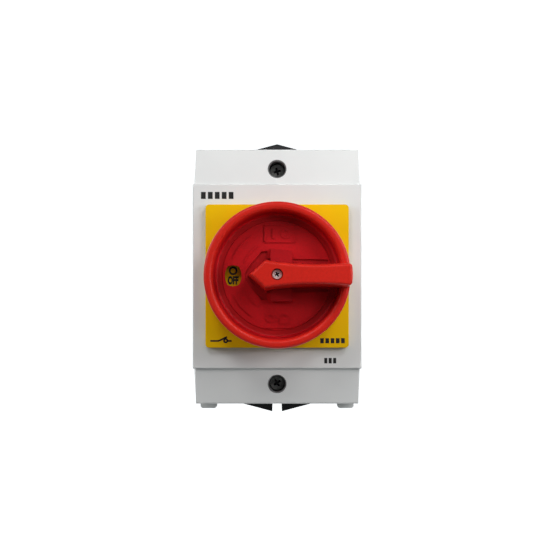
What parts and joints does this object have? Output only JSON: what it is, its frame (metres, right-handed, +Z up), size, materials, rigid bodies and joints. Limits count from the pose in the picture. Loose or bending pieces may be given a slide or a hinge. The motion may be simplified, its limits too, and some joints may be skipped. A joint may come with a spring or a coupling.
{
  "type": "rotary isolator switch",
  "caption": "Wall-mounted rotary isolator: grey cover on a black base, yellow front plate, dished red ring handle with a pointed grip and a sliding padlock tab.",
  "frame": {"origin": "centre of the rear mounting face, on the wall plane and on the handle's rotary axis", "axes": "+X right seen from the front, +Y into the wall, +Z up; the handle faces -Y"},
  "size_m": [0.08, 0.124, 0.1335],
  "materials": {
    "black_plastic": "moulded, fine texture",
    "grey_plastic": "light grey moulded, fine texture",
    "yellow_plastic": "satin",
    "red_plastic": "satin",
    "switch_plastic": "moulded thermoset",
    "nylon": "natural",
    "rubber": "smooth",
    "black_screw": "blackened",
    "zinc_steel": "zinc plated",
    "spring_steel": "bright",
    "brass": "plain"
  },
  "bodies": {
    "enclosure": {"base_housing": "black_plastic", "cell_housing_1": "switch_plastic", "cell_housing_2": "switch_plastic", "contact_spring_1_left": "spring_steel", "contact_spring_1_right": "spring_steel", "contact_spring_2_left": "spring_steel", "contact_spring_2_right": "spring_steel", "cover": "grey_plastic", "cover_gasket": "rubber", "cover_screws": "black_screw", "earth_terminal": "brass", "earth_terminal_base": "nylon", "fixed_contact_1_left_lower": "brass", "fixed_contact_1_left_upper": "brass", "fixed_contact_1_right_lower": "brass", "fixed_contact_1_right_upper": "brass", "fixed_contact_2_left_lower": "brass", "fixed_contact_2_left_upper": "brass", "fixed_contact_2_right_lower": "brass", "fixed_contact_2_right_upper": "brass", "foot_screws": "zinc_steel", "front_plate": "yellow_plastic", "latch_housing": "switch_plastic", "link_screws": "zinc_steel", "neutral_terminal": "brass", "neutral_terminal_base": "nylon", "plate_gasket": "rubber", "plate_screws": "zinc_steel", "rear_plate": "switch_plastic", "screw_seals": "rubber", "screw_sleeves": "black_plastic", "shaft_seal": "rubber", "terminal_clamps": "zinc_steel", "terminal_screws": "zinc_steel", "tie_bolts": "zinc_steel", "tie_nuts": "zinc_steel"},
    "handle": {"handle": "red_plastic", "retaining_ring": "spring_steel", "handle_screw": "zinc_steel", "shaft": "zinc_steel", "cam_1": "nylon", "cam_2": "nylon", "latch_wheel": "nylon", "slider_spring": "spring_steel"},
    "slider": {"padlock_slider": "red_plastic"},
    "contact_1_right": {"plunger_1_right": "nylon", "bridge_1_right": "brass"},
    "contact_1_left": {"plunger_1_left": "nylon", "bridge_1_left": "brass"},
    "contact_2_right": {"plunger_2_right": "nylon", "bridge_2_right": "brass"},
    "contact_2_left": {"plunger_2_left": "nylon", "bridge_2_left": "brass"}
  },
  "joints": [
    {"name": "handle_turn", "type": "hinge", "parent": "enclosure", "child": "handle", "pos_m": [0, 0, 0], "axis": [0, 1, 0], "range_deg": [0, 90]},
    {"name": "padlock_slide", "type": "slide", "parent": "handle", "child": "slider", "axis": [0, 0, -1], "range_m": [0, 0.003], "stiffness_N_per_m": 60, "springref_m": -0.002, "deforming": ["slider_spring"]},
    {"name": "contact_1_right_slide", "type": "slide", "parent": "enclosure", "child": "contact_1_right", "axis": [1, 0, 0], "range_m": [-0.00245, 0], "deforming": ["contact_spring_1_right"]},
    {"name": "contact_1_left_slide", "type": "slide", "parent": "enclosure", "child": "contact_1_left", "axis": [-1, 0, 0], "range_m": [-0.00245, 0], "deforming": ["contact_spring_1_left"]},
    {"name": "contact_2_right_slide", "type": "slide", "parent": "enclosure", "child": "contact_2_right", "axis": [1, 0, 0], "range_m": [-0.00245, 0], "deforming": ["contact_spring_2_right"]},
    {"name": "contact_2_left_slide", "type": "slide", "parent": "enclosure", "child": "contact_2_left", "axis": [-1, 0, 0], "range_m": [-0.00245, 0], "deforming": ["contact_spring_2_left"]}
  ],
  "couplings": [
    {"joint": "contact_1_right_slide", "follows": "handle_turn", "m_per_rad": -0.0015279},
    {"joint": "contact_1_left_slide", "follows": "handle_turn", "m_per_rad": -0.0015279},
    {"joint": "contact_2_right_slide", "follows": "handle_turn", "m_per_rad": -0.0015279},
    {"joint": "contact_2_left_slide", "follows": "handle_turn", "m_per_rad": -0.0015279}
  ]
}
